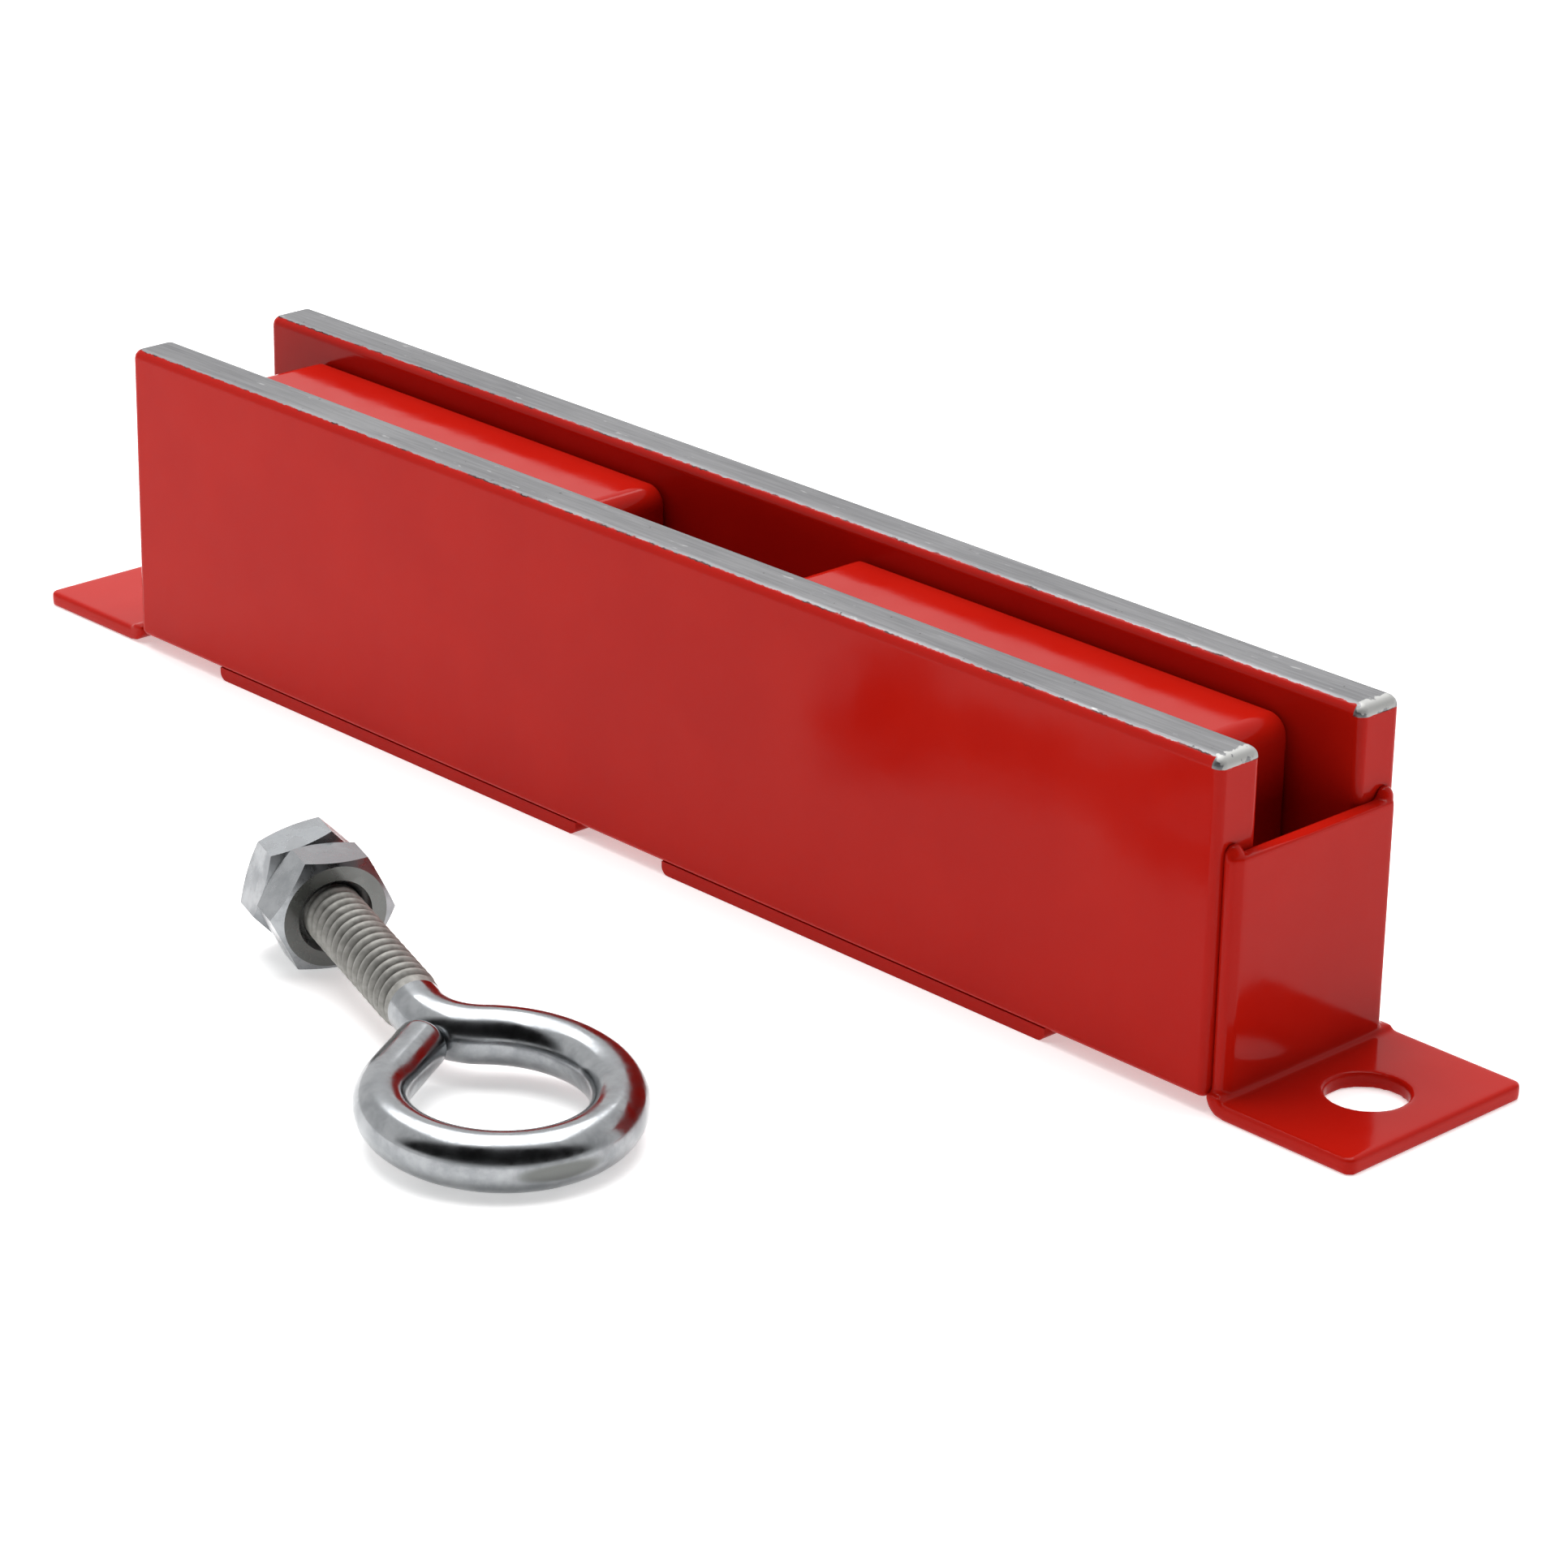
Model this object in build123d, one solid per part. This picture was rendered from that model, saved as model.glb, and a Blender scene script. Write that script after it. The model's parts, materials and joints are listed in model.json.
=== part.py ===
from build123d import *
import math
import os

# A lifting and retrieving bar magnet: two upright steel pole plates with two ceramic magnets bonded
# between them, an L-shaped mounting bracket at each end, two base straps, and the loose eyebolt with
# its two nuts that lies in front of the bar.
#
# Frame: origin at the middle of the bar on the base plane. +X runs along the bar, +Y from the front
# plate to the rear plate, +Z from the base up to the pole faces. Lengths are in mm, angles in degrees.

# Pole plates
PLATE_LENGTH = 158.6
PLATE_HEIGHT = 33.1
PLATE_THICKNESS = 5.5
PLATE_BASE_ROUND = 0.6
PLATE_CORNER_ROUND = 0.9
POLE_END_ROUND = 1.1

# Magnets and the bond on each of their broad faces
MAGNET_LENGTH = 57.5
MAGNET_THICKNESS = 13.0
MAGNET_RECESS = 3.1
MIDDLE_GAP = 27.2
MAGNET_END_ROUND = 2.2
MAGNET_EDGE_ROUND = 0.6
BOND_THICKNESS = 0.3

# End brackets
SHEET_THICKNESS = 1.6
BEND_INNER_RADIUS = 0.4
WALL_WIDTH = 20.6
WALL_HEIGHT = 25.0
WALL_CORNER_ROUND = 1.2
WALL_FOOT_ROUND = 0.6
FLANGE_REACH = 17.3
FLANGE_INSET = 0.1
FLANGE_CORNER_ROUND = 1.0
FLANGE_HOLE_DIAMETER = 7.9
FLANGE_HOLE_REACH = 8.9
WELD_RADIUS = 1.15

# Base straps
STRAP_THICKNESS = 1.4
LEFT_STRAP_LENGTH = 58.6
RIGHT_STRAP_LENGTH = 52.8
STRAP_GAP = 13.0
STRAP_INSET = 0.2
STRAP_END_ROUND = 0.9

# Eyebolt, 1/4-20 UNC rolled on wire of the pitch diameter
WIRE_DIAMETER = 5.5
THREAD_DIAMETER = 6.0
THREAD_END_CHAMFER = 0.7
THREAD_START = 22.4
SHANK_PAST_NUTS = 0.8
NECK_BEND_RADIUS = 6.0
NECK_TURN = 67.3
EYE_SIDE_RADIUS = 12.0
EYE_SIDE_TURN = 115.0
EYE_RADIUS = 10.55
EYE_TURN = 178.0
TAIL_LENGTH = 7.6
EYEBOLT_X = 40.8
EYEBOLT_Y = -62.8
EYEBOLT_HEADING = 163.0
FLOOR_CLEARANCE = 0.02

# Nuts, 1/4-20 machine screw pattern
NUT_ACROSS_FLATS = 11.11
NUT_THICKNESS = 4.76
NUT_CHAMFER_RATIO = 0.94
NUT_CHAMFER_ANGLE = 30.0
NUT_COUNTERSINK = 0.7
NUT_THREAD_CLEARANCE = 0.05
NUT_FACE_GAP = 0.05
INNER_NUT_STATION = 38.85
INNER_NUT_ROLL = 3.3
OUTER_NUT_ROLL = -14.0

# Levels and stations that follow from the sizes above
PLATE_BASE = STRAP_THICKNESS
POLE_FACE = PLATE_BASE + PLATE_HEIGHT
MAGNET_TOP = POLE_FACE - MAGNET_RECESS
MAGNET_HEIGHT = MAGNET_TOP - PLATE_BASE
POLE_GAP = MAGNET_THICKNESS + 2 * BOND_THICKNESS
BAR_WIDTH = POLE_GAP + 2 * PLATE_THICKNESS
PLATE_OFFSET = (POLE_GAP + PLATE_THICKNESS) / 2
MAGNET_OFFSET = (MIDDLE_GAP + MAGNET_LENGTH) / 2
BOND_OFFSET = (MAGNET_THICKNESS + BOND_THICKNESS) / 2
PLATE_END = PLATE_LENGTH / 2
FLANGE_END = PLATE_END + FLANGE_REACH
FLANGE_WIDTH = BAR_WIDTH - 2 * FLANGE_INSET
BEND_OUTER_RADIUS = SHEET_THICKNESS + BEND_INNER_RADIUS

WIRE_RADIUS = WIRE_DIAMETER / 2
SIDE_CENTRE_X = (NECK_BEND_RADIUS + EYE_SIDE_RADIUS) * math.sin(math.radians(NECK_TURN))
EYE_CENTRE_X = (EYE_SIDE_RADIUS - EYE_RADIUS) * math.sin(math.radians(EYE_SIDE_TURN - NECK_TURN))
NECK_START = SIDE_CENTRE_X + EYE_CENTRE_X
OUTER_NUT_STATION = INNER_NUT_STATION + NUT_THICKNESS + NUT_FACE_GAP
SHANK_END = OUTER_NUT_STATION + NUT_THICKNESS + SHANK_PAST_NUTS
NUT_CORNER_RADIUS = NUT_ACROSS_FLATS / math.sqrt(3)

LEFT, RIGHT = -1, 1
FRONT, REAR = -1, 1


def block(length, width, height, x, y, base):
    """A box centred at x and y, standing on the level base."""
    return Pos(x, y, base) * Box(length, width, height, align=(Align.CENTER, Align.CENTER, Align.MIN))


def pole_plate(side):
    """One pole plate: every painted edge is rounded, and the ground pole face has sharp long edges."""
    plate = block(PLATE_LENGTH, PLATE_THICKNESS, PLATE_HEIGHT, 0, side * PLATE_OFFSET, PLATE_BASE)
    plate = fillet(plate.edges().filter_by(Axis.Z), PLATE_CORNER_ROUND)
    plate = fillet(plate.edges().group_by(Axis.Z)[0], PLATE_BASE_ROUND)
    worn_end = plate.edges().group_by(Axis.Z)[-1].sort_by(Axis.X)[-1]
    return fillet(worn_end, POLE_END_ROUND)


def magnet(side):
    """One ceramic block, lower than the pole faces, with its upper end edges well rounded."""
    body = block(MAGNET_LENGTH, MAGNET_THICKNESS, MAGNET_HEIGHT, side * MAGNET_OFFSET, 0, PLATE_BASE)
    top = body.edges().group_by(Axis.Z)[-1]
    body = fillet(top.filter_by(Axis.Y), MAGNET_END_ROUND)
    return fillet(body.edges().filter_by(Axis.Z), MAGNET_EDGE_ROUND)


def bond(side, face):
    """The adhesive layer between one magnet and one pole plate, kept inside the magnet's rounded edges."""
    length = MAGNET_LENGTH - 2 * MAGNET_END_ROUND
    height = MAGNET_HEIGHT - MAGNET_END_ROUND
    return block(length, BOND_THICKNESS, height, side * MAGNET_OFFSET, face * BOND_OFFSET, PLATE_BASE)


def bent_sheet():
    """The right bracket's sheet before its wall is cut to shape: wall, bend and flange, all one width."""
    outline = Polyline(
        (PLATE_END, WALL_HEIGHT),
        (PLATE_END, 0),
        (FLANGE_END, 0),
        (FLANGE_END, SHEET_THICKNESS),
        (PLATE_END + SHEET_THICKNESS, SHEET_THICKNESS),
        (PLATE_END + SHEET_THICKNESS, WALL_HEIGHT),
        close=True,
    )
    profile = make_face(outline)
    outside = profile.vertices().sort_by_distance((PLATE_END, 0))[0]
    profile = fillet(outside, BEND_OUTER_RADIUS)
    inside = profile.vertices().sort_by_distance((PLATE_END + SHEET_THICKNESS, SHEET_THICKNESS))[0]
    profile = fillet(inside, BEND_INNER_RADIUS)
    sheet = extrude(Plane.XZ * profile, FLANGE_WIDTH / 2, both=True)
    return fillet(sheet.edges().filter_by(Axis.Z).group_by(Axis.X)[-1], FLANGE_CORNER_ROUND)


def wall_outline():
    """A prism along X with the bracket's end view: full width at the foot, then the narrower wall."""
    half_wall, half_flange = WALL_WIDTH / 2, FLANGE_WIDTH / 2
    face = make_face(
        Polyline(
            (-half_flange, 0),
            (half_flange, 0),
            (half_flange, BEND_OUTER_RADIUS),
            (half_wall, BEND_OUTER_RADIUS),
            (half_wall, WALL_HEIGHT),
            (-half_wall, WALL_HEIGHT),
            (-half_wall, BEND_OUTER_RADIUS),
            (-half_flange, BEND_OUTER_RADIUS),
            close=True,
        )
    )
    face = fillet(face.vertices().group_by(Axis.Y)[-1], WALL_CORNER_ROUND)
    for foot in (-half_wall, half_wall):
        face = fillet(face.vertices().sort_by_distance((foot, BEND_OUTER_RADIUS))[0], WALL_FOOT_ROUND)
    return extrude(Plane.YZ * face, FLANGE_END)


def end_bracket(side):
    """One bent bracket: a wall across the plates' end faces and a mounting flange with one hole."""
    bracket = bent_sheet() & wall_outline()
    hole = Cylinder(FLANGE_HOLE_DIAMETER / 2, 4 * SHEET_THICKNESS)
    bracket -= Pos(PLATE_END + FLANGE_HOLE_REACH, 0, 0) * hole
    return bracket if side == RIGHT else mirror(bracket, Plane.YZ)


def bracket_welds(side):
    """The two weld beads up the wall's side edges, each ending in a round lump on the wall's corner."""
    length = WALL_HEIGHT - BEND_OUTER_RADIUS
    bead = Cylinder(WELD_RADIUS, length, align=(Align.CENTER, Align.CENTER, Align.MIN))
    bead += Pos(0, 0, length) * Sphere(WELD_RADIUS)
    bead &= block(WELD_RADIUS, 2 * WELD_RADIUS, length + WELD_RADIUS, WELD_RADIUS / 2, 0, 0)
    beads = []
    for face in (FRONT, REAR):
        placed = Pos(PLATE_END, face * WALL_WIDTH / 2, BEND_OUTER_RADIUS) * bead
        placed -= end_bracket(RIGHT)
        beads.append(placed if side == RIGHT else mirror(placed, Plane.YZ))
    return beads


def base_strap(side, length):
    """One strap under both plates and their magnet, with rounded lower ends."""
    centre = side * (STRAP_GAP + length) / 2
    strap = block(length, BAR_WIDTH - 2 * STRAP_INSET, STRAP_THICKNESS, centre, 0, 0)
    lower = strap.edges().group_by(Axis.Z)[0]
    return fillet(lower.filter_by(Axis.Y), STRAP_END_ROUND)


def hex_drop(roll):
    """How far a nut's lowest corner hangs below its axis when the nut is turned by roll."""
    corner_angles = [math.radians(roll + 60 * index) for index in range(6)]
    return max(-NUT_CORNER_RADIUS * math.sin(angle) for angle in corner_angles)


def resting_tilt():
    """How far the shank rises towards the nuts when the ring's far side and a nut rest on the floor."""
    rises = []
    for station, roll in ((INNER_NUT_STATION, INNER_NUT_ROLL), (OUTER_NUT_STATION, OUTER_NUT_ROLL)):
        rise = hex_drop(roll) + FLOOR_CLEARANCE - WIRE_RADIUS
        rises.append(math.degrees(math.asin(rise / (EYE_RADIUS + station))))
    return max(rises)


def eyebolt_plane():
    """The eyebolt's own plane: origin at the eye's centre, x along the shank, z across the eye."""
    tilt = math.radians(resting_tilt())
    heading = math.radians(EYEBOLT_HEADING)
    along = Vector(math.cos(tilt) * math.cos(heading), math.cos(tilt) * math.sin(heading), math.sin(tilt))
    sideways = Vector(-math.sin(heading), math.cos(heading), 0)
    centre = (EYEBOLT_X, EYEBOLT_Y, FLOOR_CLEARANCE + WIRE_RADIUS + EYE_RADIUS * math.sin(tilt))
    return Plane(origin=centre, x_dir=along, z_dir=along.cross(sideways))


def eye_path():
    """The wire's centreline: shank, neck bend, the flatter side, the round far side, straight tail."""
    shank = Line((SHANK_END - THREAD_END_CHAMFER, 0), (NECK_START, 0))
    neck = JernArc(shank @ 1, shank % 1, NECK_BEND_RADIUS, NECK_TURN)
    side = JernArc(neck @ 1, neck % 1, EYE_SIDE_RADIUS, -EYE_SIDE_TURN)
    far_side = JernArc(side @ 1, side % 1, EYE_RADIUS, -EYE_TURN)
    tail = Line(far_side @ 1, far_side @ 1 + TAIL_LENGTH * (far_side % 1))
    return Wire([shank.edge(), neck.edge(), side.edge(), far_side.edge(), tail.edge()])


def eyebolt():
    """One wire bent into an open eye, with a chamfered thread of slightly larger diameter."""
    path = eye_path()
    wire = sweep(Plane(origin=path @ 0, z_dir=path % 0) * Circle(WIRE_RADIUS), path=path)
    thread_length = SHANK_END - THREAD_START
    thread = Cylinder(THREAD_DIAMETER / 2, thread_length, align=(Align.CENTER, Align.CENTER, Align.MIN))
    thread = chamfer(thread.edges().filter_by(GeomType.CIRCLE), THREAD_END_CHAMFER)
    return eyebolt_plane() * (wire + Pos(THREAD_START, 0, 0) * Rot(0, 90, 0) * thread)


def nut(station, roll):
    """One hexagon nut on the shank, its near face at station, chamfered and countersunk both sides."""
    middle = NUT_THICKNESS / 2
    hexagon = extrude(RegularPolygon(NUT_CORNER_RADIUS, 6, rotation=90), middle, both=True)
    chamfer_width = NUT_CORNER_RADIUS - NUT_CHAMFER_RATIO * NUT_ACROSS_FLATS / 2
    chamfer_depth = chamfer_width * math.tan(math.radians(NUT_CHAMFER_ANGLE))
    rim_profile = make_face(
        Polyline(
            (0, -middle),
            (NUT_CORNER_RADIUS - chamfer_width, -middle),
            (NUT_CORNER_RADIUS, -middle + chamfer_depth),
            (NUT_CORNER_RADIUS, middle - chamfer_depth),
            (NUT_CORNER_RADIUS - chamfer_width, middle),
            (0, middle),
            close=True,
        )
    )
    blank = revolve(Plane.XZ * rim_profile, Axis.Z)
    bore = Cylinder(THREAD_DIAMETER / 2 + NUT_THREAD_CLEARANCE, NUT_THICKNESS)
    body = (hexagon & blank) - bore
    rims = body.edges().filter_by(GeomType.CIRCLE).sort_by(SortBy.RADIUS)[:2]
    body = chamfer(rims, NUT_COUNTERSINK)
    return eyebolt_plane() * Pos(station + middle, 0, 0) * Rot(roll, 0, 0) * Rot(0, 90, 0) * body


def write(name, shapes):
    """Export one node as a STEP file."""
    node = Compound(children=shapes) if isinstance(shapes, list) else shapes
    export_step(node, os.path.join("parts", name + ".step"))


os.makedirs("parts", exist_ok=True)
write("front_pole_plate", pole_plate(FRONT))
write("rear_pole_plate", pole_plate(REAR))
for side, side_name in ((LEFT, "left"), (RIGHT, "right")):
    write(side_name + "_magnet", magnet(side))
    write(side_name + "_front_bond", bond(side, FRONT))
    write(side_name + "_rear_bond", bond(side, REAR))
    write(side_name + "_end_bracket", end_bracket(side))
    write(side_name + "_bracket_welds", bracket_welds(side))
write("left_base_strap", base_strap(LEFT, LEFT_STRAP_LENGTH))
write("right_base_strap", base_strap(RIGHT, RIGHT_STRAP_LENGTH))
write("eyebolt", eyebolt())
write("inner_nut", nut(INNER_NUT_STATION, INNER_NUT_ROLL))
write("outer_nut", nut(OUTER_NUT_STATION, OUTER_NUT_ROLL))
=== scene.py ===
import json
import math

import bmesh
import bpy
from mathutils import Matrix, Vector


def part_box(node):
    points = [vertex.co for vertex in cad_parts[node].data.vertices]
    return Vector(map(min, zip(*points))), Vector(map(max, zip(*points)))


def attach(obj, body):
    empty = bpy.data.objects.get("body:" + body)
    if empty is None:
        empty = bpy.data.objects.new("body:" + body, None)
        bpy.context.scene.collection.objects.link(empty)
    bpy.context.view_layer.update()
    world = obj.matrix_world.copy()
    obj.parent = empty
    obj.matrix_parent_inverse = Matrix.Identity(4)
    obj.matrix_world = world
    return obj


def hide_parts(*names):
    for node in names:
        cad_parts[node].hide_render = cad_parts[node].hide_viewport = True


MM = 0.001

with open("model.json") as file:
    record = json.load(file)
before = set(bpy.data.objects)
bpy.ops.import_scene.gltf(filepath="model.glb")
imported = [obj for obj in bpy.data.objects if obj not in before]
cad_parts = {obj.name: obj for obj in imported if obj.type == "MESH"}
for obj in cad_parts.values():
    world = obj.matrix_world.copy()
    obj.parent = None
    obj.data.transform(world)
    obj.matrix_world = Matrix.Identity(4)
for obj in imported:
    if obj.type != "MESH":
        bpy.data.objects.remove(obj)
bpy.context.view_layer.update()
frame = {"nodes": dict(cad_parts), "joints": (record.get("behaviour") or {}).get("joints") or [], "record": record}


# ---------------------------------------------------------------- places read from the frame


def mount(name):
    """The record's mount of that name."""
    return next(m for m in frame["record"]["mounts"] if m["name"] == name)


def joint(name):
    """The record's joint of that name."""
    return next(j for j in frame["joints"] if j["name"] == name)


def vertices(node):
    """A CAD node's vertices, in the row frame."""
    return [v.co for v in frame["nodes"][node].data.vertices]


eye = mount("eye")
EYE_CENTRE = Vector(eye["pos_m"])
EYE_NORMAL = Vector(eye["axis"]).normalized()
SHANK_AXIS = Vector(joint("outer_nut_travel")["axis"]).normalized()
SIDE_AXIS = EYE_NORMAL.cross(SHANK_AXIS)
WIRE_RADIUS = eye["dims"]["length_mm"] * MM / 2
EYE_RADIUS = eye["dims"]["r_mm"] * MM + WIRE_RADIUS


def station(point):
    """How far along the shank a point lies, from the eye's centre."""
    return (point - EYE_CENTRE).dot(SHANK_AXIS)


def reach(point):
    """How far a point lies from the shank's axis."""
    return (point - EYE_CENTRE - station(point) * SHANK_AXIS).length


FULL_CREST = 0.999
shank_points = [p for p in vertices("eyebolt") if station(p) > 2 * EYE_RADIUS]
CREST_RADIUS = max(reach(p) for p in shank_points)
SHANK_END = max(station(p) for p in shank_points)
THREAD_START = min(station(p) for p in shank_points if reach(p) > FULL_CREST * CREST_RADIUS)

plate_low, plate_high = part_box("front_pole_plate")
POLE_FACE = plate_high.z
BAR_END = plate_high.x
PLATE_MIDDLE = -(plate_low.y + plate_high.y) / 2
PLATE_THICKNESS = plate_high.y - plate_low.y


# ---------------------------------------------------------------- material graphs


class Graph:
    """A new material's node tree, with short ways to add and join its nodes."""

    def __init__(self, name):
        self.material = bpy.data.materials.new(name)
        self.material.use_nodes = True
        self.tree = self.material.node_tree
        self.shader = self.tree.nodes["Principled BSDF"]

    def feed(self, socket, value):
        """Sets a socket to a value, or links it to another node's output."""
        if isinstance(value, bpy.types.NodeSocket):
            self.tree.links.new(value, socket)
        else:
            socket.default_value = value

    def add(self, kind, output, inputs, **settings):
        """Adds a node with its settings and inputs, and gives one of its outputs."""
        node = self.tree.nodes.new(kind)
        for key, value in settings.items():
            setattr(node, key, value)
        for key, value in inputs.items():
            self.feed(node.inputs[key], value)
        return node.outputs[output]

    def math(self, operation, first, second=0.0):
        """One arithmetic step on two values."""
        return self.add("ShaderNodeMath", 0, {0: first, 1: second}, operation=operation)

    def step(self, value, start, end, low=0.0, high=1.0):
        """A value that goes from low to high as another goes from start to end, smoothly."""
        inputs = {"Value": value, "From Min": start, "From Max": end, "To Min": low, "To Max": high}
        return self.add("ShaderNodeMapRange", "Result", inputs, interpolation_type="SMOOTHSTEP")

    def mix(self, factor, low, high):
        """A colour between two colours."""
        sockets = {0: factor, 6: rgba(low), 7: rgba(high)}
        return self.add("ShaderNodeMix", 2, sockets, data_type="RGBA")

    def place(self, stretch=(1, 1, 1)):
        """The surface point in the row frame, in metres, with each axis stretched."""
        point = self.add("ShaderNodeTexCoord", "Object", {})
        return self.add("ShaderNodeMapping", "Vector", {"Vector": point, "Scale": stretch})

    def axes(self):
        """The surface point's x, y and z in the row frame."""
        node = self.tree.nodes.new("ShaderNodeSeparateXYZ")
        self.feed(node.inputs[0], self.place())
        return node.outputs

    def noise(self, size, detail=2.0, roughness=0.5, stretch=(1, 1, 1)):
        """A soft pattern with blotches of about that size in metres."""
        inputs = {"Vector": self.place(stretch), "Scale": 1 / size, "Detail": detail, "Roughness": roughness}
        return self.add("ShaderNodeTexNoise", "Fac", inputs)

    def bump(self, height, depth, onto=None):
        """A normal raised by a height pattern of that depth in metres."""
        inputs = {"Height": height, "Distance": depth, "Strength": 1.0}
        if onto is not None:
            inputs["Normal"] = onto
        return self.add("ShaderNodeBump", "Normal", inputs)

    def finish(self, **inputs):
        """Feeds the shader's sockets, with _ for the spaces in their names, and gives the material."""
        for key, value in inputs.items():
            self.feed(self.shader.inputs[key.replace("_", " ")], value)
        return self.material


def rgba(colour):
    """A colour with its alpha, unless it is a socket."""
    return colour if isinstance(colour, bpy.types.NodeSocket) else (*colour, 1.0)


# ---------------------------------------------------------------- materials

PAINT_RED = (0.42, 0.0085, 0.0036)
PAINT_DEEP = (0.400, 0.0072, 0.0032)
PAINT_GLOSS = 0.08
STEEL_DARK = (0.13, 0.13, 0.135)
STEEL_LIGHT = (0.22, 0.22, 0.225)
STEEL_FLECK = (0.32, 0.32, 0.32)
# Paler rubbed steel at the plates' right end: real wear, lightened further as a painted highlight.
STEEL_WORN_HIGHLIGHT = (0.42, 0.42, 0.41)
STEEL_PIT = (0.06, 0.058, 0.055)
# Near black: the cured adhesive's own colour, and the painted shade line at the pole plates' paint edge.
ADHESIVE_AND_EDGE_SHADE = (0.02, 0.012, 0.012)
ZINC_DARK = (0.22, 0.23, 0.24)
ZINC_LIGHT = (0.32, 0.33, 0.34)
# Darker zinc on the faces square to the shank: a painted dark reflection.
ZINC_END_REFLECTION = (0.13, 0.135, 0.13)
# Painted shade in the roots of the thread.
ROOT_SHADE = (0.10, 0.095, 0.085)
THREAD_DARK = (0.21, 0.205, 0.19)
THREAD_LIGHT = (0.30, 0.295, 0.275)

PAINT_EDGE = 0.16 * MM
PAINT_EDGE_BLUR = 0.04 * MM
EDGE_SHADE_WIDTH = 0.07 * MM
WORN_END = 1.2 * MM
WORN_END_BLUR = 0.2 * MM

CLOUD_LOW = 0.3
CLOUD_HIGH = 0.7
PAINT_SHINE = (0.09, 0.15)
PLATE_PAINT_ROUGHNESS = 0.12
BARE_ROUGHNESS = 0.3
WORN_ROUGHNESS = 0.2
ADHESIVE_ROUGHNESS = 0.5
THREAD_METALLIC = 0.55
THREAD_ROUGHNESS = 0.6
END_FACE_START = 0.93
END_FACE_FULL = 0.98
ROOT_SHADE_BREAKUP = 0.3
GRAIN_SHARE = 1 / 30

WAVE_DEPTH = 0.05 * MM
ORANGE_PEEL_DEPTH = 0.0035 * MM
GRINDING_DEPTH = 0.006 * MM
THREAD_GRAIN_DEPTH = 0.01 * MM


def paint_colour(graph):
    """Red with slow cloudy variation and a few darker specks."""
    cloud = graph.step(graph.noise(14 * MM, detail=3.0), 0.35, 0.65)
    colour = graph.mix(cloud, PAINT_DEEP, PAINT_RED)
    speck = graph.step(graph.noise(0.5 * MM, detail=1.0), 0.78, 0.84)
    return graph.mix(speck, colour, PAINT_DEEP)


def paint_relief(graph):
    """Orange peel over a slower waviness."""
    wave = graph.bump(graph.noise(7 * MM, detail=1.0), WAVE_DEPTH)
    return graph.bump(graph.noise(0.9 * MM, detail=1.0), ORANGE_PEEL_DEPTH, onto=wave)


def red_paint():
    """The paint of every fully coated piece."""
    graph = Graph("red_paint")
    shine = graph.step(graph.noise(4 * MM, detail=3.0), CLOUD_LOW, CLOUD_HIGH, *PAINT_SHINE)
    return graph.finish(
        Base_Color=paint_colour(graph),
        Roughness=shine,
        Specular_IOR_Level=PAINT_GLOSS,
        Normal=paint_relief(graph),
    )


def steel_colour(graph):
    """Grinding lines along the bar, with pale flecks and dark pits."""
    lines = graph.noise(0.35 * MM, detail=4.0, roughness=0.7, stretch=(0.04, 1, 1))
    patches = graph.noise(9 * MM, detail=3.0, stretch=(0.3, 1, 1))
    tone = graph.math("ADD", graph.math("MULTIPLY", lines, 0.6), graph.math("MULTIPLY", patches, 0.4))
    colour = graph.mix(graph.step(tone, 0.32, 0.68), STEEL_DARK, STEEL_LIGHT)
    fleck = graph.step(graph.noise(0.8 * MM, detail=3.0, stretch=(0.3, 1, 1)), 0.66, 0.74)
    colour = graph.mix(fleck, colour, STEEL_FLECK)
    pit = graph.step(graph.noise(0.7 * MM, detail=2.0), 0.72, 0.77)
    return graph.mix(pit, colour, STEEL_PIT), lines


def bare_mask(graph):
    """How bare a pole plate is, and a painted shade line along the ragged edge of its paint."""
    x, y, z = graph.axes()
    depth = graph.math("SUBTRACT", POLE_FACE, z)
    off_middle = graph.math("ABSOLUTE", graph.math("SUBTRACT", graph.math("ABSOLUTE", y), PLATE_MIDDLE))
    to_edge = graph.math("SUBTRACT", off_middle, PLATE_THICKNESS / 2 - PAINT_EDGE)
    ragged = graph.math("MULTIPLY", graph.noise(0.9 * MM, detail=5.0, roughness=0.7), 2 * PAINT_EDGE)
    creep = graph.math("ADD", graph.math("MAXIMUM", to_edge, 0.0), depth)
    face_gap = graph.math("SUBTRACT", ragged, creep)
    end_near = graph.math("SUBTRACT", x, BAR_END - WORN_END)
    end_gap = graph.math("MINIMUM", end_near, graph.math("SUBTRACT", WORN_END, depth))
    end_gap = graph.math("ADD", end_gap, graph.math("MULTIPLY", ragged, 0.5))
    gap = graph.math("MAXIMUM", face_gap, graph.math("SUBTRACT", end_gap, PAINT_EDGE))
    bare = graph.step(gap, 0.0, PAINT_EDGE_BLUR)
    near = graph.math("ABSOLUTE", gap)
    # A thin painted shade line along the ragged edge of the paint, broken up by noise.
    line = graph.step(near, 0.0, EDGE_SHADE_WIDTH, 1.0, 0.0)
    broken = graph.step(graph.noise(2.2 * MM, detail=3.0), 0.5, 0.62)
    return bare, graph.math("MULTIPLY", line, broken)


def worn_end(graph):
    """How near the plate's chipped right end of its pole face a point lies."""
    x, _, z = graph.axes()
    inward = graph.math("SUBTRACT", BAR_END, x)
    down = graph.math("SUBTRACT", POLE_FACE, z)
    ragged = graph.math("MULTIPLY", graph.noise(0.7 * MM, detail=4.0), 2 * WORN_END)
    return graph.step(graph.math("SUBTRACT", ragged, graph.math("ADD", inward, down)), 0.0, WORN_END_BLUR)


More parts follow.
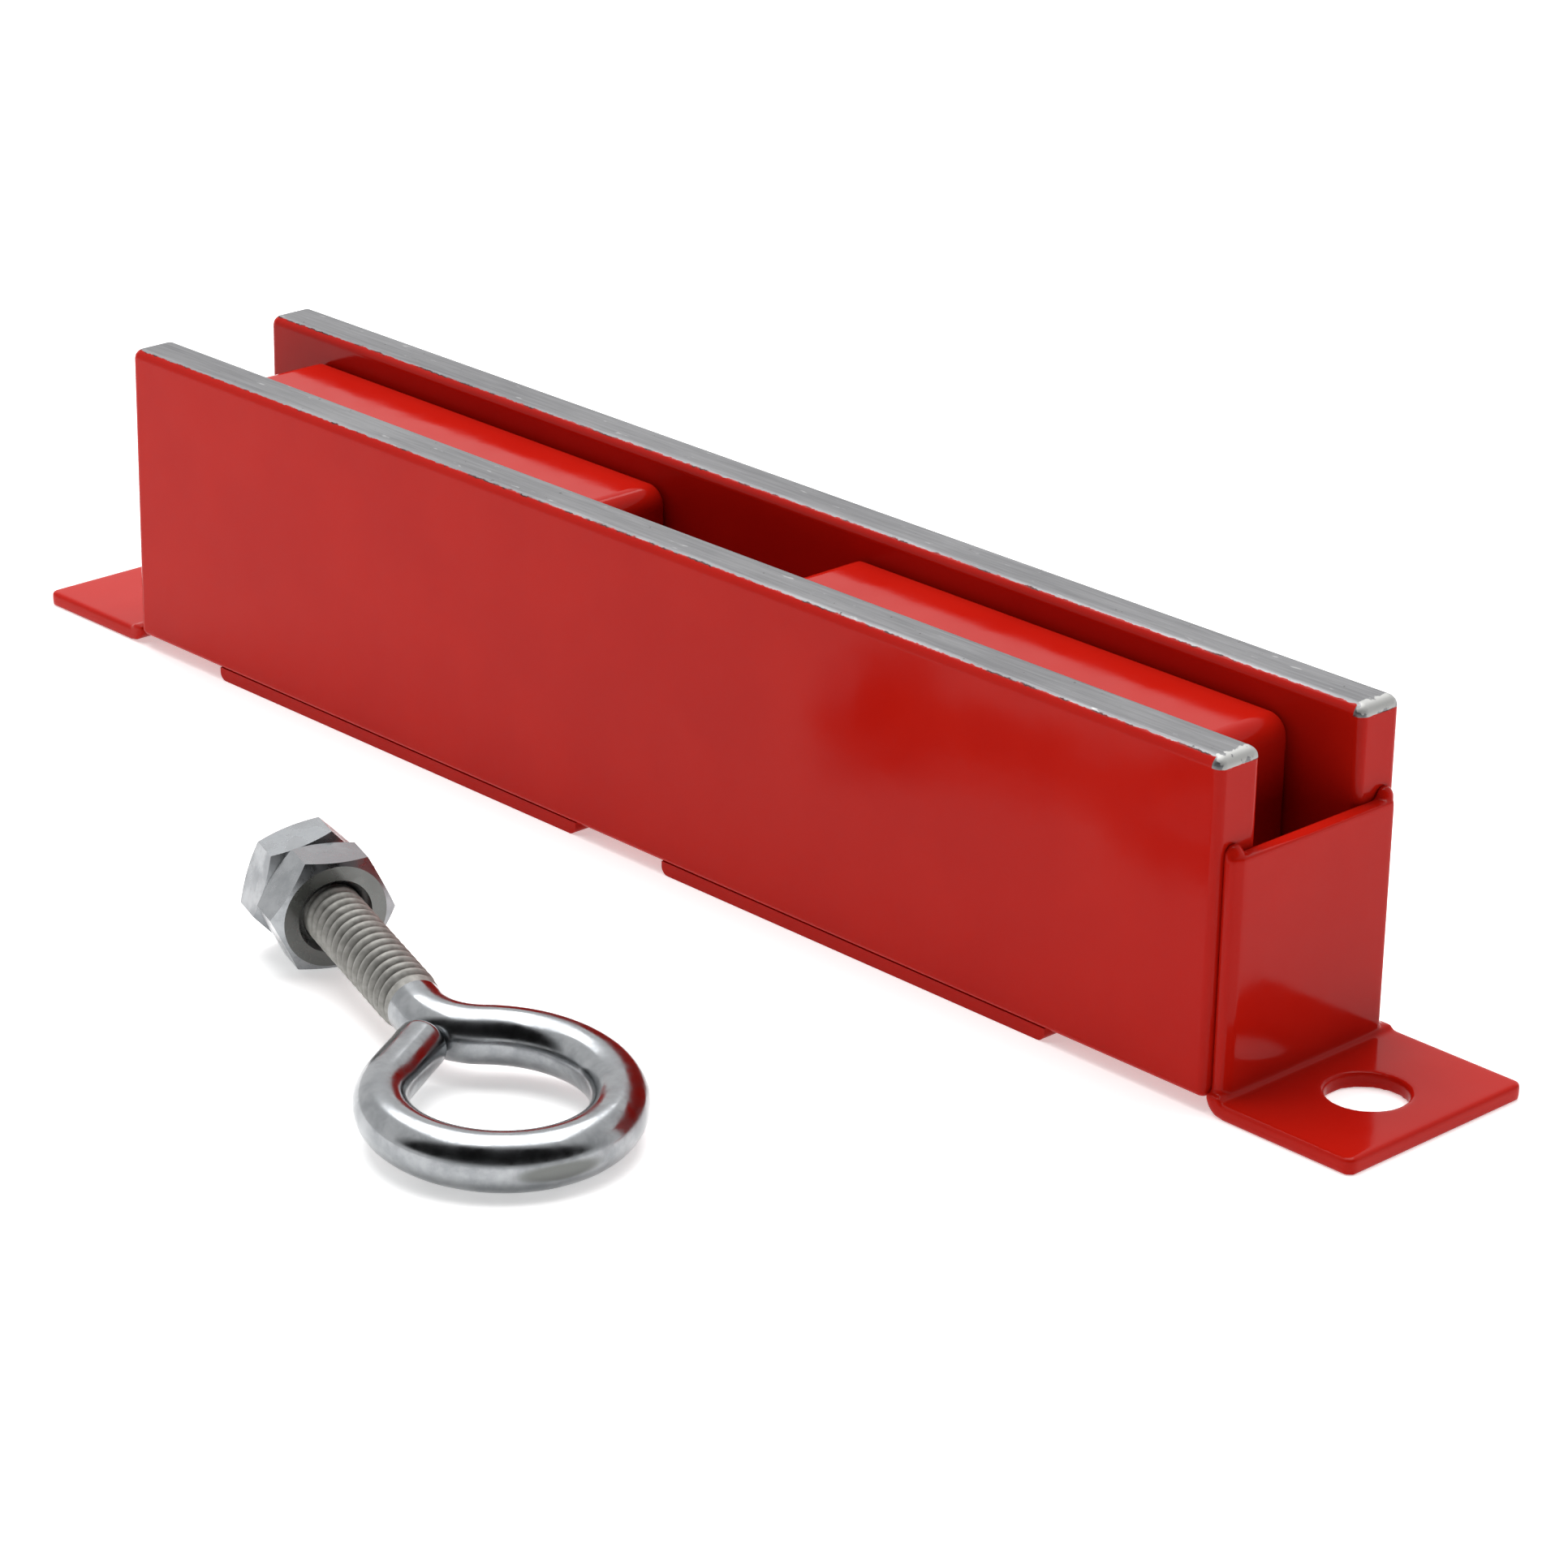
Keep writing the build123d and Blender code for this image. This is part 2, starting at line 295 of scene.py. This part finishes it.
def painted_plate():
    """Red paint, worn or ground away to bare steel at the pole face, with a painted shade line along the paint's
    edge and a painted highlight on the rubbed right end.
    """
    graph = Graph("painted_plate")
    steel, lines = steel_colour(graph)
    bare, edge_shade = bare_mask(graph)
    wear_and_highlight = worn_end(graph)
    # The rubbed right end is rougher, and painted paler as a highlight on its rounded edge.
    steel = graph.mix(wear_and_highlight, steel, STEEL_WORN_HIGHLIGHT)
    colour = graph.mix(bare, paint_colour(graph), steel)
    # Painted shade: the thin dark line along the paint's edge.
    colour = graph.mix(edge_shade, colour, ADHESIVE_AND_EDGE_SHADE)
    rough = graph.math("ADD", graph.math("MULTIPLY", bare, BARE_ROUGHNESS), PLATE_PAINT_ROUGHNESS)
    rough = graph.math("ADD", rough, graph.math("MULTIPLY", wear_and_highlight, WORN_ROUGHNESS))
    relief = graph.bump(graph.math("MULTIPLY", lines, bare), GRINDING_DEPTH, onto=paint_relief(graph))
    return graph.finish(
        Base_Color=colour,
        Metallic=bare,
        Roughness=rough,
        Specular_IOR_Level=PAINT_GLOSS,
        Normal=relief,
    )


def dark_adhesive():
    """Cured adhesive in the joint beside each magnet, with a red film here and there."""
    graph = Graph("adhesive")
    film = graph.step(graph.noise(1.5 * MM, detail=4.0), 0.42, 0.6)
    return graph.finish(Base_Color=graph.mix(film, ADHESIVE_AND_EDGE_SHADE, PAINT_DEEP), Roughness=ADHESIVE_ROUGHNESS)


def zinc_plate(name, roughest, relief_depth):
    """Zinc plate: slightly mottled, with soft dents, and a painted dark reflection on the faces square to the
    shank.
    """
    graph = Graph(name)
    cloud = graph.noise(2.5 * MM, detail=5.0, roughness=0.6)
    colour = graph.mix(graph.step(cloud, CLOUD_LOW, CLOUD_HIGH), ZINC_DARK, ZINC_LIGHT)
    normal = graph.add("ShaderNodeTexCoord", "Normal", {})
    facing = graph.add("ShaderNodeVectorMath", "Value", {0: normal, 1: SHANK_AXIS}, operation="DOT_PRODUCT")
    end_face_reflection = graph.step(graph.math("ABSOLUTE", facing), END_FACE_START, END_FACE_FULL)
    # Painted reflection: the faces square to the shank are darkened.
    colour = graph.mix(end_face_reflection, colour, ZINC_END_REFLECTION)
    shine = graph.step(cloud, CLOUD_LOW, CLOUD_HIGH, roughest, roughest / 2)
    dents = graph.bump(graph.noise(3.5 * MM, detail=2.0), relief_depth)
    grain = graph.bump(graph.noise(0.25 * MM, detail=2.0), relief_depth * GRAIN_SHARE, onto=dents)
    return graph.finish(Base_Color=colour, Metallic=1.0, Roughness=shine, Normal=grain)


def thread_zinc():
    """Dull zinc with painted shade between the crests."""
    graph = Graph("thread_zinc")
    crest = graph.add("ShaderNodeAttribute", "Fac", {}, attribute_name="crest")
    cloud = graph.noise(0.8 * MM, detail=4.0)
    metal = graph.mix(graph.step(cloud, CLOUD_LOW, CLOUD_HIGH), THREAD_DARK, THREAD_LIGHT)
    out_of_root_shade = graph.math("ADD", crest, graph.math("MULTIPLY", cloud, ROOT_SHADE_BREAKUP))
    # Painted shade: the thread's roots darkened, the shade's edge broken up by noise.
    colour = graph.mix(graph.step(out_of_root_shade, 0.15, 0.85), ROOT_SHADE, metal)
    relief = graph.bump(graph.noise(0.3 * MM, detail=3.0), THREAD_GRAIN_DEPTH)
    return graph.finish(
        Base_Color=colour,
        Metallic=THREAD_METALLIC,
        Roughness=THREAD_ROUGHNESS,
        Normal=relief,
    )


def set_material(obj, *materials):
    """Puts materials in an object's slots, from the first on."""
    if obj.data.materials:
        obj.data.materials.clear()
    for material in materials:
        obj.data.materials.append(material)


# ---------------------------------------------------------------- the eyebolt

PITCH = 25.4 / 20 * MM
THREAD_DEPTH = 0.50 * MM
RUN_OUT = 1.6 * PITCH
FIRST_TURNS = 2.2 * PITCH
VISIBLE_THREAD_START = THREAD_START - FIRST_TURNS
ROUNDING_POWER = 0.45
END_CHAMFER = 0.7 * MM
TAIL_BEVEL = 0.45 * MM
NECK_BEND_RADIUS = 6.0 * MM
NECK_TURN = math.radians(67.3)
EYE_SIDE_RADIUS = 12.0 * MM
EYE_SIDE_TURN = math.radians(115.0)
EYE_TURN = math.radians(178.0)
TAIL_LENGTH = 7.6 * MM
TAIL_THINNING = 0.09
SIDE_CENTRE = (NECK_BEND_RADIUS + EYE_SIDE_RADIUS) * math.sin(NECK_TURN)
NECK_START = SIDE_CENTRE + (EYE_SIDE_RADIUS - EYE_RADIUS) * math.sin(EYE_SIDE_TURN - NECK_TURN)
SEGMENTS = 72
THREAD_STEP = PITCH / 14
WIRE_STEP = 0.35 * MM
ON_AXIS = 1e-9


def run(start, length, curvature, step):
    """Points (x, y, heading) along a run of constant curvature in the eye's plane, after its start."""
    x, y, heading = start
    count = math.ceil(length / step)
    points = []
    for index in range(1, count + 1):
        part = length * index / count
        turned = heading + curvature * part
        if curvature:
            dx = (math.sin(turned) - math.sin(heading)) / curvature
            dy = (math.cos(heading) - math.cos(turned)) / curvature
        else:
            dx, dy = part * math.cos(heading), part * math.sin(heading)
        points.append((x + dx, y + dy, turned))
    return points


def wire_line():
    """The wire's middle line from the shank's end to the tail: (x, y, heading) at each ring."""
    line = [(SHANK_END, 0.0, math.pi)]
    line += run(line[-1], SHANK_END - THREAD_START, 0.0, THREAD_STEP)
    line += run(line[-1], THREAD_START - NECK_START, 0.0, THREAD_STEP)
    line += run(line[-1], NECK_BEND_RADIUS * NECK_TURN, 1 / NECK_BEND_RADIUS, WIRE_STEP)
    line += run(line[-1], EYE_SIDE_RADIUS * EYE_SIDE_TURN, -1 / EYE_SIDE_RADIUS, WIRE_STEP)
    line += run(line[-1], EYE_RADIUS * EYE_TURN, -1 / EYE_RADIUS, WIRE_STEP)
    return line + run(line[-1], TAIL_LENGTH, 0.0, WIRE_STEP)


def smooth(value):
    """Smoothstep from 0 to 1."""
    value = min(1.0, max(0.0, value))
    return value * value * (3 - 2 * value)


def thread_profile(x, angle):
    """How near the crest the helix is at a station and an angle: 0 in the root, 1 on the crest."""
    phase = x / PITCH + angle / math.tau
    return (0.5 + 0.5 * math.cos(math.tau * phase)) ** ROUNDING_POWER


def ring_radii(x, on_shank, to_tail):
    """One ring's radii and crest values: threaded, plain or, near its ends, bevelled."""
    threaded = smooth((x - VISIBLE_THREAD_START) / RUN_OUT + 0.5) if on_shank else 0.0
    thinned = WIRE_RADIUS * (1 - TAIL_THINNING * smooth(1 - to_tail / (3 * EYE_RADIUS)))
    cut = max(0.0, END_CHAMFER - (SHANK_END - x)) if on_shank else max(0.0, TAIL_BEVEL - to_tail)
    radii, crests = [], []
    for index in range(SEGMENTS):
        high = thread_profile(x, math.tau * index / SEGMENTS)
        thread = CREST_RADIUS - THREAD_DEPTH * (1 - high)
        radius = thinned * (1 - threaded) + thread * threaded
        radii.append(min(radius, CREST_RADIUS - cut) if on_shank else radius - cut)
        crests.append(high if threaded > 0.5 else 1.0)
    return radii, crests


def add_ring(bm, crest_layer, point, to_tail):
    """One ring of vertices round the wire's middle line."""
    x, y, heading = point
    on_shank = abs(y) < ON_AXIS and x > NECK_START - ON_AXIS
    across = -math.sin(heading) * SHANK_AXIS + math.cos(heading) * SIDE_AXIS
    middle = EYE_CENTRE + x * SHANK_AXIS + y * SIDE_AXIS
    ring = []
    for index, (radius, crest) in enumerate(zip(*ring_radii(x, on_shank, to_tail))):
        angle = math.tau * index / SEGMENTS
        outward = math.cos(angle) * across + math.sin(angle) * EYE_NORMAL
        vert = bm.verts.new(middle + radius * outward)
        vert[crest_layer] = crest
        ring.append(vert)
    return ring


def eyebolt_mesh():
    """The wire swept along its line, with the helical thread cut into its shank."""
    line = wire_line()
    lengths = [0.0]
    for (x0, y0, _), (x1, y1, _) in zip(line, line[1:]):
        lengths.append(lengths[-1] + math.hypot(x1 - x0, y1 - y0))
    bm = bmesh.new()
    crest_layer = bm.verts.layers.float.new("crest")
    rings = [add_ring(bm, crest_layer, point, lengths[-1] - length) for point, length in zip(line, lengths)]
    for ring, following in zip(rings, rings[1:]):
        for index in range(SEGMENTS):
            after = (index + 1) % SEGMENTS
            bm.faces.new((ring[index], ring[after], following[after], following[index]))
    bm.faces.new(rings[0][::-1])
    bm.faces.new(rings[-1])
    bmesh.ops.recalc_face_normals(bm, faces=bm.faces)
    for face in bm.faces:
        face.smooth = len(face.verts) == 4
        along = station(face.calc_center_median())
        face.material_index = 1 if along > VISIBLE_THREAD_START - RUN_OUT / 2 else 0
    mesh = bpy.data.meshes.new("eyebolt_wire")
    bm.to_mesh(mesh)
    bm.free()
    return mesh


def make_eyebolt(plain, threaded):
    """Adds the wire, which rides on the eyebolt's body and replaces its CAD node."""
    wire = bpy.data.objects.new("eyebolt_wire", eyebolt_mesh())
    bpy.context.scene.collection.objects.link(wire)
    set_material(wire, plain, threaded)
    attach(wire, "eyebolt")
    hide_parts("eyebolt")


# ---------------------------------------------------------------- softened CAD nodes

WELD_FULLNESS = 0.75
SKIN_VOXEL = 0.24 * MM
SKIN_SMOOTHING = 6
SKIN_RELAX = 0.5
WALL_TOP_BAND = 0.9
MERGE_GAP = 1e-7
FLAT_ANGLE = 1
BEVEL_SEGMENTS = 3


def soften(name, width, angle=35):
    """Rounds a CAD node's edges with modifiers and evens out its shading."""
    obj = frame["nodes"][name]
    flat = obj.modifiers.new("flat", "DECIMATE")
    flat.decimate_type = "DISSOLVE"
    flat.angle_limit = math.radians(FLAT_ANGLE)
    bevel = obj.modifiers.new("round", "BEVEL")
    bevel.width = width
    bevel.segments = BEVEL_SEGMENTS
    bevel.limit_method = "ANGLE"
    bevel.angle_limit = math.radians(angle)
    obj.modifiers.new("shade", "WEIGHTED_NORMAL")


def settle(obj):
    """Applies an object's modifiers, and keeps the result on or above the floor."""
    evaluated = obj.evaluated_get(bpy.context.evaluated_depsgraph_get())
    mesh = bpy.data.meshes.new_from_object(evaluated)
    obj.modifiers.clear()
    obj.data = mesh
    for vertex in mesh.vertices:
        vertex.co.z = max(vertex.co.z, 0.0)


def corner_outline(bracket, welds, fullness):
    """The wedge from a plate's end to the wall's outer face, as (x, y) points on the positive sides."""
    wall_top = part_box(bracket)[1].z
    weld_low, weld_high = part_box(welds)
    radius = weld_high.x - weld_low.x
    wall_side = weld_high.y - radius
    outside = max(abs(p.x) for p in vertices(bracket) if p.z > WALL_TOP_BAND * wall_top)
    return (
        (BAR_END, wall_side - radius),
        (BAR_END, wall_side + radius),
        (BAR_END + fullness * (outside - BAR_END), wall_side + radius),
        (outside, wall_side),
        (outside, wall_side - radius),
    )


def fill_corner(bm, outline, side, face, heights):
    """Adds the wedge in which weld and paint close one corner."""
    rings = [[bm.verts.new((side * x, face * y, z)) for x, y in outline] for z in heights]
    for index in range(len(outline)):
        after = (index + 1) % len(outline)
        bm.faces.new((rings[0][index], rings[0][after], rings[1][after], rings[1][index]))
    bm.faces.new(rings[0])
    bm.faces.new(rings[1])
    bmesh.ops.recalc_face_normals(bm, faces=bm.faces)


def fill_corners(bm, side, bracket, welds):
    """Fills both corners beside a bracket's wall."""
    heights = (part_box(welds)[0].z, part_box(bracket)[1].z)
    for face in (-1, 1):
        fullness = WELD_FULLNESS if side > 0 > face else 0.0
        fill_corner(bm, corner_outline(bracket, welds, fullness), side, face, heights)


def skin(name, slot, side, *nodes):
    """One painted skin over a bracket and its welds, its inner corners filled and its edges rounded."""
    bm = bmesh.new()
    for node in nodes:
        bm.from_mesh(frame["nodes"][node].data)
    fill_corners(bm, side, *nodes)
    bmesh.ops.remove_doubles(bm, verts=bm.verts, dist=MERGE_GAP)
    mesh = bpy.data.meshes.new(name)
    bm.to_mesh(mesh)
    bm.free()
    obj = bpy.data.objects.new(name, mesh)
    bpy.context.scene.collection.objects.link(obj)
    remesh = obj.modifiers.new("skin", "REMESH")
    remesh.mode = "VOXEL"
    remesh.voxel_size = SKIN_VOXEL
    remesh.use_smooth_shade = True
    relax = obj.modifiers.new("relax", "SMOOTH")
    relax.factor = SKIN_RELAX
    relax.iterations = SKIN_SMOOTHING
    settle(obj)
    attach(obj, "bar")
    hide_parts(*nodes)
    return obj


# ---------------------------------------------------------------- stage, light and camera

FLOOR_HALF = 3.0
FLOOR_WHITE = (0.93, 0.93, 0.93)
FLOOR_ROUGHNESS = 0.9
FLOOR_GLOW = 0.45


def area_light(name, place, target, size, power):
    """A rectangular lamp at a place, turned to its target."""
    light = bpy.data.lights.new(name, "AREA")
    light.shape = "RECTANGLE"
    light.size, light.size_y = size
    light.energy = power
    lamp = bpy.data.objects.new(name, light)
    bpy.context.scene.collection.objects.link(lamp)
    lamp.location = place
    lamp.rotation_euler = (Vector(target) - Vector(place)).to_track_quat("-Z", "Y").to_euler()


def make_floor():
    """A white floor with a faint glow of its own."""
    half = FLOOR_HALF
    mesh = bpy.data.meshes.new("floor")
    corners = [(-half, -half, 0), (half, -half, 0), (half, half, 0), (-half, half, 0)]
    mesh.from_pydata(corners, [], [(0, 1, 2, 3)])
    floor = bpy.data.objects.new("floor", mesh)
    bpy.context.scene.collection.objects.link(floor)
    graph = Graph("floor")
    looks = {"Base_Color": rgba(FLOOR_WHITE), "Roughness": FLOOR_ROUGHNESS, "Specular_IOR_Level": 0.0}
    glow = {"Emission_Color": (1, 1, 1, 1), "Emission_Strength": FLOOR_GLOW}
    set_material(floor, graph.finish(**looks, **glow))


CAMERA_PLACE = Vector((0.34794, -0.32558, 0.19993))
CAMERA_LENS = 115.8
CAMERA_SENSOR = 36.0
CAMERA_CLIP = (0.01, 20)
CAMERA_AZIMUTH = math.radians(45.95)
CAMERA_ELEVATION = math.radians(22.293)
CAMERA_ROLL = math.radians(1.094)

ROOM_WHITE = 1.1
ROOM_DARK = 0.01
DARK_SIDE_START = 0.10
DARK_SIDE_END = 0.30
DARK_LEVEL_START = 0.12
DARK_LEVEL_END = 0.24

SOFTBOX_PLACE = (-0.25, 0.15, 0.9)
SOFTBOX_SIZE = (0.9, 0.9)
SOFTBOX_POWER = 10


def make_world():
    """A white room that is dark above the table on the camera's side."""
    world = bpy.data.worlds.new("studio")
    bpy.context.scene.world = world
    world.use_nodes = True
    tree = world.node_tree
    coords = tree.nodes.new("ShaderNodeTexCoord")
    towards = (math.sin(CAMERA_AZIMUTH), -math.cos(CAMERA_AZIMUTH), 0.0)
    side = tree.nodes.new("ShaderNodeVectorMath")
    side.operation = "DOT_PRODUCT"
    side.inputs[1].default_value = towards
    tree.links.new(coords.outputs["Generated"], side.inputs[0])
    split = tree.nodes.new("ShaderNodeSeparateXYZ")
    tree.links.new(coords.outputs["Generated"], split.inputs[0])
    parts = []
    for value, start, end in (
        (side.outputs["Value"], DARK_SIDE_START, DARK_SIDE_END),
        (split.outputs["Z"], DARK_LEVEL_START, DARK_LEVEL_END),
    ):
        part = tree.nodes.new("ShaderNodeMapRange")
        part.inputs["From Min"].default_value = start
        part.inputs["From Max"].default_value = end
        tree.links.new(value, part.inputs["Value"])
        parts.append(part.outputs["Result"])
    dark = tree.nodes.new("ShaderNodeMath")
    dark.operation = "MULTIPLY"
    tree.links.new(parts[0], dark.inputs[0])
    tree.links.new(parts[1], dark.inputs[1])
    strength = tree.nodes.new("ShaderNodeMapRange")
    strength.inputs["To Min"].default_value = ROOM_WHITE
    strength.inputs["To Max"].default_value = ROOM_DARK
    tree.links.new(dark.outputs[0], strength.inputs["Value"])
    tree.links.new(strength.outputs["Result"], tree.nodes["Background"].inputs["Strength"])
    tree.nodes["Background"].inputs["Color"].default_value = (1, 1, 1, 1)


def make_camera():
    """The photograph's camera, fitted to the bar's edges."""
    data = bpy.data.cameras.new("camera")
    data.sensor_width = CAMERA_SENSOR
    data.lens = CAMERA_LENS
    data.clip_start, data.clip_end = CAMERA_CLIP
    camera = bpy.data.objects.new("camera", data)
    bpy.context.scene.collection.objects.link(camera)
    turn = Matrix.Rotation(CAMERA_AZIMUTH, 4, "Z")
    tilt = Matrix.Rotation(math.radians(90) - CAMERA_ELEVATION, 4, "X")
    roll = Matrix.Rotation(CAMERA_ROLL, 4, "Z")
    camera.matrix_world = Matrix.Translation(CAMERA_PLACE) @ turn @ tilt @ roll
    bpy.context.scene.camera = camera


bpy.context.scene.view_settings.view_transform = "Standard"
make_world()
make_floor()
area_light("top_softbox", SOFTBOX_PLACE, (0, 0, 0), SOFTBOX_SIZE, SOFTBOX_POWER)
make_camera()

# ---------------------------------------------------------------- the object

PLATE_ROUND, PLATE_ANGLE = 0.1 * MM, 60
NUT_ROUND, NUT_ANGLE = 0.1 * MM, 45
MAGNET_ROUND = 0.45 * MM
STRAP_ROUND = 0.35 * MM
WIRE_ROUGHNESS, WIRE_DENTS = 0.26, 0.03 * MM
NUT_ROUGHNESS, NUT_DENTS = 0.36, 0.012 * MM

paint, plate_paint, adhesive = red_paint(), painted_plate(), dark_adhesive()
zinc = zinc_plate("zinc_bright", WIRE_ROUGHNESS, WIRE_DENTS)
nut_zinc = zinc_plate("zinc_nut", NUT_ROUGHNESS, NUT_DENTS)

for name, node in frame["nodes"].items():
    if "bond" in name:
        set_material(node, adhesive)
    elif "pole_plate" in name:
        set_material(node, plate_paint)
        soften(name, PLATE_ROUND, angle=PLATE_ANGLE)
    elif "nut" in name:
        set_material(node, nut_zinc)
        soften(name, NUT_ROUND, angle=NUT_ANGLE)
    elif "magnet" in name:
        set_material(node, paint)
        soften(name, MAGNET_ROUND)
    elif "strap" in name:
        set_material(node, paint)
        soften(name, STRAP_ROUND)

for side, sign in (("left", -1), ("right", 1)):
    parts = (side + "_end_bracket", side + "_bracket_welds")
    bracket = skin(side + "_bracket_skin", "red_paint", sign, *parts)
    set_material(bracket, paint)

make_eyebolt(zinc, thread_zinc())
